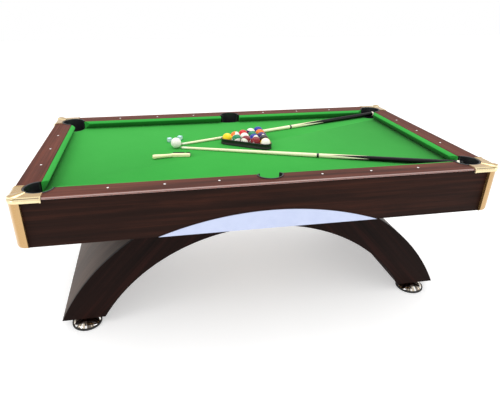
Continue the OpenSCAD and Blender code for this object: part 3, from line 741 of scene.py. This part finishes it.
def ball_look(name, colour, striped, spot=True):
    """Polished resin, with a white spot at both ends of its X axis, and white poles on a striped ball."""
    look = Look(name, Roughness=0.08, Coat_Weight=0.2, Coat_Roughness=0.03, Specular_IOR_Level=0.3)
    parts = look.add("ShaderNodeSeparateXYZ", {0: look.coord})
    white = srgb(244, 240, 228)
    scuff = look.noise(look.coord, 180.0, 3, 0.6)
    base = look.mix(look.span(scuff, 0.45, 0.75, 0.0, 0.02), colour, white)
    if striped:
        height = look.calc("ABSOLUTE", parts.outputs[2])
        base = look.mix(look.span(height, 0.0148, 0.0152), base, white)
    if spot:
        squares = [look.calc("POWER", parts.outputs[k], 2.0) for k in (1, 2)]
        away = look.calc("POWER", look.calc("ADD", *squares), 0.5)
        base = look.mix(look.span(away, 0.0086, 0.0089), white, base)
    look.feed(Base_Color=base, Roughness=look.span(scuff, 0.35, 0.7, 0.06, 0.14))
    return look.material


def ball(name, centre, material, node, turn):
    """A ball whose skin is an even net of triangles. node is its CAD node, and has the name of its body."""
    work = bmesh.new()
    bmesh.ops.create_icosphere(work, subdivisions=4, radius=BALL_R)
    points = [tuple(v.co) for v in work.verts]
    faces = [tuple(v.index for v in f.verts) for f in work.faces]
    work.free()
    matrix = Matrix.Translation(Vector(centre) * MM) @ turn.to_matrix().to_4x4()
    piece(name, points, faces, material, body=node, replaces=node, matrix=matrix, sharp=180)


YELLOW, BLUE, RED, PURPLE = srgb(250, 214, 10), srgb(14, 34, 150), srgb(205, 8, 16), srgb(48, 12, 100)
ORANGE, GREEN, MAROON, BLACK = srgb(246, 118, 14), srgb(0, 130, 84), srgb(130, 4, 24), srgb(12, 12, 14)
# Number, colour, and where a white pole (striped) or the white spot (solid) lies: right, up, nearer
BALLS = [
    (1, YELLOW, (0.3, 0.9, -0.3)), (13, ORANGE, (0.85, 0.2, 0.5)), (14, GREEN, (0.3, -0.8, 0.5)),
    (3, RED, (0.9, 0.3, -0.4)), (11, RED, (0.0, 0.2, 0.97)), (15, MAROON, (-0.5, -0.6, 0.6)),
    (12, PURPLE, (0.1, 0.95, 0.3)), (6, GREEN, (-0.1, -0.5, 0.85)), (10, BLUE, (0.6, -0.3, 0.7)),
    (7, MAROON, (-0.45, -0.5, 0.7)), (2, BLUE, (0.9, 0.2, -0.4)), (5, ORANGE, (-0.3, -0.3, 0.9)),
    (4, PURPLE, (0.3, 0.2, 0.9)), (8, BLACK, (0.7, 0.5, -0.5)), (9, YELLOW, (0.0, 0.15, 0.98)),
]
# The directions right, up and nearer, as the studio's camera has them
VIEW = Vector((0.984, -0.177, 0.005)), Vector((0.074, 0.434, 0.898)), Vector((-0.161, -0.883, 0.44))
BALL_SPOTS = [(row, k) for row in range(5) for k in range(row, -1, -1)]
for (number, colour, pole), (row, k) in zip(BALLS, BALL_SPOTS):
    striped = number > 8
    look = ball_look(f"ball_{number}", colour, striped)
    towards = sum((axis * share for axis, share in zip(VIEW, pole)), Vector())
    turn = towards.to_track_quat("Z" if striped else "X", "Y")
    centre = RACK @ Vector((row * ROW, (k - row / 2) * PITCH, BALL_Z))
    ball(f"ball_{number:02d}", centre, look, "object_balls", turn)
white = ball_look("cue_ball", srgb(246, 243, 234), striped=False, spot=False)
ball("cue_ball_polished", (-383.7, 41.6, BALL_Z), white, "cue_ball", Quaternion())

# ---------------------------------------------------------------- cues

CUE_LENGTH, JOINT_AT, POINTS_FROM, BUTT_FROM = 1450.0, 740.0, 800.0, 1010.0
TIP_R, JOINT_R, BUTT_R = 6.25, 10.5, 15.0


def maple_look():
    """Lacquered maple, for a cue's shaft."""
    look = Look("cue_maple", Coat_Weight=0.4, Coat_Roughness=0.12)
    grain = look.noise(look.mapped((2.5, 120, 120)), 1.0, 5, 0.6, 0.4)
    fleck = look.noise(look.mapped((40, 900, 900)), 1.0, 2, 0.6)
    tone = look.calc("ADD", look.calc("MULTIPLY", grain, 0.7), look.calc("MULTIPLY", fleck, 0.3))
    tones = (0.32, srgb(234, 224, 178)), (0.5, srgb(248, 240, 200)), (0.7, srgb(254, 250, 222))
    look.feed(Base_Color=look.ramp(tone, *tones), Roughness=look.span(fleck, 0.3, 0.7, 0.26, 0.38))
    return look.bump(grain, 0.06, 0.0002).material


def forearm_look():
    """Maple with four black points, which grow to the whole round where they meet the butt."""
    look = Look("cue_forearm", Coat_Weight=0.1, Coat_Roughness=0.1, Roughness=0.3, Specular_IOR_Level=0.15)
    parts = look.add("ShaderNodeSeparateXYZ", {0: look.coord})
    angle = look.calc("ARCTAN2", parts.outputs[2], parts.outputs[1])
    half_point = math.pi / 4
    saw = look.calc("PINGPONG", look.calc("ADD", angle, half_point + 6 * math.pi), half_point)
    grow = look.span(parts.outputs[0], POINTS_FROM * MM, BUTT_FROM * MM, 0.0, half_point * 1.04)
    black = look.span(look.calc("SUBTRACT", grow, saw), -0.005, 0.005)
    grain = look.noise(look.mapped((2.5, 120, 120)), 1.0, 5, 0.6, 0.4)
    tones = (0.32, srgb(234, 224, 180)), (0.5, srgb(248, 240, 204)), (0.7, srgb(254, 250, 226))
    look.feed(Base_Color=look.mix(black, look.ramp(grain, *tones), srgb(8, 8, 9)))
    return look.bump(grain, 0.04, 0.0002).material


TIP, FERRULE, SHAFT, RING, FOREARM, BUTT, BUMPER = range(7)
CUE_LOOKS = [
    moulded("cue_tip", srgb(196, 196, 160), srgb(168, 172, 150), 0.85, 900.0, 0.5),
    moulded("cue_ferrule", srgb(250, 248, 228), srgb(244, 240, 214), 0.22, 500.0, 0.03, coat=0.4),
    maple_look(),
    moulded("cue_ring", srgb(14, 14, 15), srgb(26, 26, 28), 0.2, 500.0, 0.03, coat=0.5),
    forearm_look(),
    moulded("cue_butt", srgb(8, 8, 9), srgb(13, 12, 13), 0.3, 300.0, 0.02, spec=0.15, coat=0.1),
    rubber,
]


def cue_radius(u):
    """A cue's radius at a distance from its tip. The taper ends 6 mm before the bumper's end."""
    if u < JOINT_AT:
        return TIP_R + (JOINT_R - TIP_R) * u / JOINT_AT
    return JOINT_R + (BUTT_R - JOINT_R) * (u - JOINT_AT) / (CUE_LENGTH - 6 - JOINT_AT)


def cue(name, x, y, turn):
    """A cue, built along its own X axis from the tip, lying as the CAD cue lies."""
    profile, picks = [(0.0, 0.0)], []

    def upto(look, *stations):
        """Goes on to more stations, as radius and distance, in one look."""
        profile.extend(stations)
        picks.extend([look] * len(stations))

    def tapered(look, *places):
        """Goes on to more stations along the taper."""
        upto(look, *((cue_radius(u), float(u)) for u in places))

    upto(TIP, (2.4, 0.3), (4.4, 1.3), (5.7, 3.0), (6.05, 5.0), (6.05, 8.0))
    upto(FERRULE, (6.2, 8.3), (6.3, 20.0), (6.35, 33.0))
    tapered(SHAFT, *range(40, 736, 58), 734)
    upto(RING, (cue_radius(734) + 0.15, 734.2), (cue_radius(746) + 0.15, 746.0))
    upto(FOREARM, (cue_radius(746), 746.2))
    tapered(FOREARM, *range(770, 1010, 40), BUTT_FROM)
    tapered(BUTT, *range(1040, 1420, 60), 1420)
    upto(FERRULE, (cue_radius(1420) + 0.05, 1420.3), (cue_radius(1432) + 0.05, 1432.0))
    upto(BUTT, (cue_radius(1432), 1432.3), (cue_radius(1440) - 0.2, 1440.0))
    upto(BUMPER, (13.9, 1441.0), (13.4, 1446.0), (11.6, 1449.2), (9.0, CUE_LENGTH), (0.0, CUE_LENGTH))
    n = 40
    points, faces = turned(profile, n=n, axis="x")
    per_face = [p for p in picks for _ in range(n)]
    tilt = math.asin((BUTT_R - TIP_R) / CUE_LENGTH)
    matrix = (
        Matrix.Translation(Vector((x, y, LIE_Z + TIP_R)) * MM)
        @ Matrix.Rotation(math.radians(turn), 4, "Z")
        @ Matrix.Rotation(-tilt, 4, "Y")
    )
    piece(
        f"{name}_stick", points, faces, CUE_LOOKS,
        body=name, replaces=name, matrix=matrix, sharp=40, picks=per_face,
    )


cue("cue_back", -355, 82, 17.71)
cue("cue_front", -358.6, 23, -20.3)

# ---------------------------------------------------------------- chalk


def powder_look():
    """Pressed chalk powder."""
    look = Look("chalk_powder", Specular_IOR_Level=0.2)
    grain = look.noise(look.coord, 800.0, 5, 0.7)
    look.feed(
        Base_Color=look.ramp(grain, (0.3, srgb(176, 216, 228)), (0.7, srgb(222, 244, 250))),
        Roughness=look.span(grain, 0.3, 0.7, 0.85, 0.98),
    )
    return look.bump(grain, 0.6, 0.0004).material


def label_look():
    """Plain paper with a darker border along both its edges."""
    look = Look("chalk_label", Specular_IOR_Level=0.35, Roughness=0.62)
    height = look.add("ShaderNodeSeparateXYZ", {0: look.coord}).outputs[2]
    fibre = look.noise(look.coord, 500.0, 4, 0.6)
    band = look.span(look.calc("ABSOLUTE", look.calc("SUBTRACT", height, 0.0105)), 0.0052, 0.0056)
    tint = look.mix(band, srgb(222, 240, 246), srgb(160, 202, 222))
    look.feed(Base_Color=look.mix(look.span(fibre, 0.3, 0.8, 0.0, 0.25), tint, srgb(230, 240, 248)))
    return look.bump(fibre, 0.2, 0.0002).material


CHALK_LOOKS = [powder_look(), label_look()]


def chalk(name, x, y, turn):
    """A chalk cube with a paper label round its sides and a hollow worn in its top."""
    size, half, n = 22.0, 11, 14
    hollow_r, hollow_depth = 8.6, 3.0
    points, faces, picks = [], [], []

    def height(u, v):
        hollow = math.hypot(u, v - 0.8)
        wear = 0.0 if hollow > hollow_r else hollow_depth * (math.cos(hollow / hollow_r * math.pi) + 1) / 2
        edge = max(abs(u), abs(v))
        return size - wear - (0.0 if edge < 10 else (edge - 10) ** 2 * 0.7)

    grid = [-half + size * k / n for k in range(n + 1)]
    for u in grid:
        for v in grid:
            points.append((u, v, height(u, v)))
    at = lambda i, j: i * (n + 1) + j
    for i in range(n):
        for j in range(n):
            faces.append((at(i, j), at(i + 1, j), at(i + 1, j + 1), at(i, j + 1)))
            picks.append(0)
    rim = [at(i, 0) for i in range(n)] + [at(n, j) for j in range(n)]
    rim += [at(i, n) for i in range(n, 0, -1)] + [at(0, j) for j in range(n, 0, -1)]
    last = rim
    for z, grow, pick in ((size - 1.4, 0.0, 0), (size - 1.5, 0.15, 0), (0.8, 0.15, 1), (0.0, -0.4, 1)):
        base = len(points)
        for p in rim:
            u, v, _ = points[p]
            scale = (half + grow) / half
            points.append((u * scale, v * scale, z))
        ring = list(range(base, base + len(rim)))
        for k in range(len(rim)):
            j = (k + 1) % len(rim)
            faces.append((last[k], last[j], ring[j], ring[k]))
            picks.append(pick)
        last = ring
    faces.append(tuple(last))
    picks.append(0)
    matrix = Matrix.Translation(Vector((x, y, LIE_Z)) * MM) @ Matrix.Rotation(math.radians(turn), 4, "Z")
    piece(
        name, points, faces, CHALK_LOOKS,
        body="chalk", replaces="chalk", matrix=matrix, sharp=40, picks=picks,
    )


chalk("chalk_cube_one", -413.9, 158, 20)
chalk("chalk_cube_two", -352.8, 186.7, -35)

# ---------------------------------------------------------------- brush


NECK = Matrix.Translation((-414, -97.7, LIE_Z)) @ Matrix.Rotation(math.radians(-8), 4, "Z")
GRIP = Matrix.Translation((-515.5, -122.8, LIE_Z)) @ Matrix.Rotation(math.radians(8.7), 4, "Z")


def beech_look():
    """Lacquered beech."""
    look = Look("brush_beech", Coat_Weight=0.3, Coat_Roughness=0.2)
    grain = look.noise(look.mapped((5, 160, 160)), 1.0, 5, 0.6, 0.5)
    fleck = look.noise(look.mapped((60, 700, 700)), 1.0, 2, 0.6)
    tones = (0.3, srgb(236, 222, 164)), (0.5, srgb(248, 240, 190)), (0.7, srgb(254, 250, 214))
    look.feed(Base_Color=look.ramp(grain, *tones), Roughness=look.span(fleck, 0.3, 0.7, 0.34, 0.46))
    return look.bump(fleck, 0.1, 0.0002).material


def bristle_look():
    """Fine dark bristle."""
    look = Look("bristle", Specular_IOR_Level=0.3, Roughness=0.6)
    streak = look.noise(look.coord, 600.0, 2, 0.6)
    look.feed(Base_Color=look.ramp(streak, (0.35, srgb(5, 5, 5)), (0.7, srgb(16, 15, 15))))
    return look.bump(streak, 0.3, 0.0002).material


def brush_handle():
    """The brush's wood: a turned grip that runs into a rounded head."""
    # Place along the grip or the neck, shift sideways, half width, half height, middle height, how square
    grip_stations = [
        (0.0, 0, 4.0, 4.0, 12.0, 0), (1.0, 0, 8.2, 8.2, 12.0, 0), (4.0, 0, 10.8, 10.8, 12.0, 0),
        (10.0, 0, 11.8, 11.8, 12.0, 0), (18.0, 0, 11.3, 11.3, 12.0, 0), (34.0, 0, 10.1, 10.1, 12.0, 0),
        (52.0, 0, 9.2, 9.2, 11.6, 0), (72.0, 0, 8.9, 8.9, 11.0, 0), (90.0, 0, 9.1, 8.8, 10.0, 0.1),
    ]
    neck_stations = [
        (2.0, -1.5, 9.4, 8.2, 8.6, 0.5), (12.0, -0.4, 9.9, 7.9, 8.1, 1), (30.0, 0, 10.0, 7.9, 8.0, 1),
        (60.0, 0, 10.0, 7.9, 8.0, 1), (86.0, 0, 9.9, 7.9, 8.0, 1), (92.0, 0, 9.0, 7.2, 8.0, 1),
        (93.8, 0, 7.2, 5.4, 8.0, 0.8),
    ]
    stations = [(GRIP, *row) for row in grip_stations] + [(NECK, *row) for row in neck_stations]
    loops = []
    for frame_at, x, shift, ry, rz, height, square in stations:
        power = 2 / (2 + 5 * square)
        bend = lambda share: math.copysign(abs(share) ** power, share)
        section = [(x, shift + ry * bend(u), height + rz * bend(v)) for u, v in circle(1, 40)]
        loops.append([tuple(frame_at @ Vector(point)) for point in section])
    points, faces = rings(loops)
    piece(
        "brush_handle_turned", points, faces, beech_look(),
        body="brush", replaces="brush_handle", sharp=60,
    )


def brush_bristles():
    """Tufts of bristle in the brush's head, with one place left empty."""
    rng = random.Random(11)
    tufts, gap_at, hairs = 9, 6, 80
    parts = []
    for tuft in (k for k in range(tufts) if k != gap_at):
        for _ in range(hairs):
            x = 3 + tuft * 10 + rng.uniform(0.2, 9.0)
            z = rng.uniform(2.6, 11.4)
            line = [
                (x, 8.5, z),
                (x + rng.uniform(-0.3, 0.3), 26.0, z + rng.uniform(-0.3, 0.3)),
                (x + rng.uniform(-0.9, 0.9), 40.6 - rng.uniform(0, 1.6), z + rng.uniform(-0.8, 0.8)),
            ]
            parts.append(tube([tuple(NECK @ Vector(p)) for p in line], 0.5, 4))
    points, faces = gather(parts)
    piece(
        "brush_bristle_tufts", points, faces, bristle_look(),
        body="brush", replaces="brush_bristles", sharp=80,
    )


brush_handle()
brush_bristles()

# ---------------------------------------------------------------- studio


def studio():
    """A pale floor, soft light, and the camera that was fitted to the photo."""
    work = bmesh.new()
    bmesh.ops.create_grid(work, x_segments=8, y_segments=8, size=14)
    mesh = bpy.data.meshes.new("floor")
    work.to_mesh(mesh)
    work.free()
    look = Look("floor", Specular_IOR_Level=0.2, Emission_Color=(1, 1, 1, 1), Emission_Strength=0.42)
    haze = look.noise(look.coord, 3.0, 4, 0.5)
    look.feed(
        Base_Color=look.ramp(haze, (0.3, (0.8, 0.8, 0.8, 1)), (0.7, (0.82, 0.82, 0.82, 1))),
        Roughness=look.span(haze, 0.3, 0.7, 0.6, 0.75),
    )
    mesh.materials.append(look.material)
    floor = bpy.data.objects.new("floor", mesh)
    floor.location.z = -0.0015
    bpy.context.scene.collection.objects.link(floor)

    world = bpy.data.worlds.new("studio")
    world.use_nodes = True
    sky = world.node_tree.nodes["Background"].inputs
    sky["Color"].default_value, sky["Strength"].default_value = (1.0, 1.0, 1.0, 1.0), 1.0
    bpy.context.scene.world = world

    def light(name, place, aim, size, watts, tint=(1, 1, 1)):
        lamp = bpy.data.lights.new(name, "AREA")
        lamp.shape, lamp.energy, lamp.color = "RECTANGLE", watts, tint
        lamp.size, lamp.size_y = size
        made = bpy.data.objects.new(name, lamp)
        made.location = place
        made.rotation_euler = (Vector(aim) - Vector(place)).to_track_quat("-Z", "Y").to_euler()
        bpy.context.scene.collection.objects.link(made)

    light("overhead", (0.2, 0.6, 3.4), (0, 0.1, 0.6), (3.6, 1.8), 40, (1, 0.99, 0.97))
    light("left_key", (-3.4, -1.6, 2.6), (-0.4, 0, 0.5), (1.6, 1.2), 22)
    light("right_fill", (3.6, -1.2, 1.8), (0.6, 0, 0.5), (1.6, 1.6), 10)

    camera = bpy.data.cameras.new("camera")
    camera.sensor_width, camera.lens, camera.shift_x = 36.0, 31.80456, 0.036
    camera.clip_start, camera.clip_end = 0.05, 60
    eye = bpy.data.objects.new("camera", camera)
    place = Matrix.Translation((-0.4974, -2.3121, 1.5612))
    right, up, back = (0.98422, -0.17688, 0.00464), (0.07372, 0.43379, 0.898), (-0.16085, -0.88348, 0.43998)
    eye.matrix_world = place @ Matrix((right, up, back)).transposed().to_4x4()
    bpy.context.scene.collection.objects.link(eye)
    bpy.context.scene.camera = eye
    bpy.context.scene.view_settings.view_transform = "Standard"


studio()
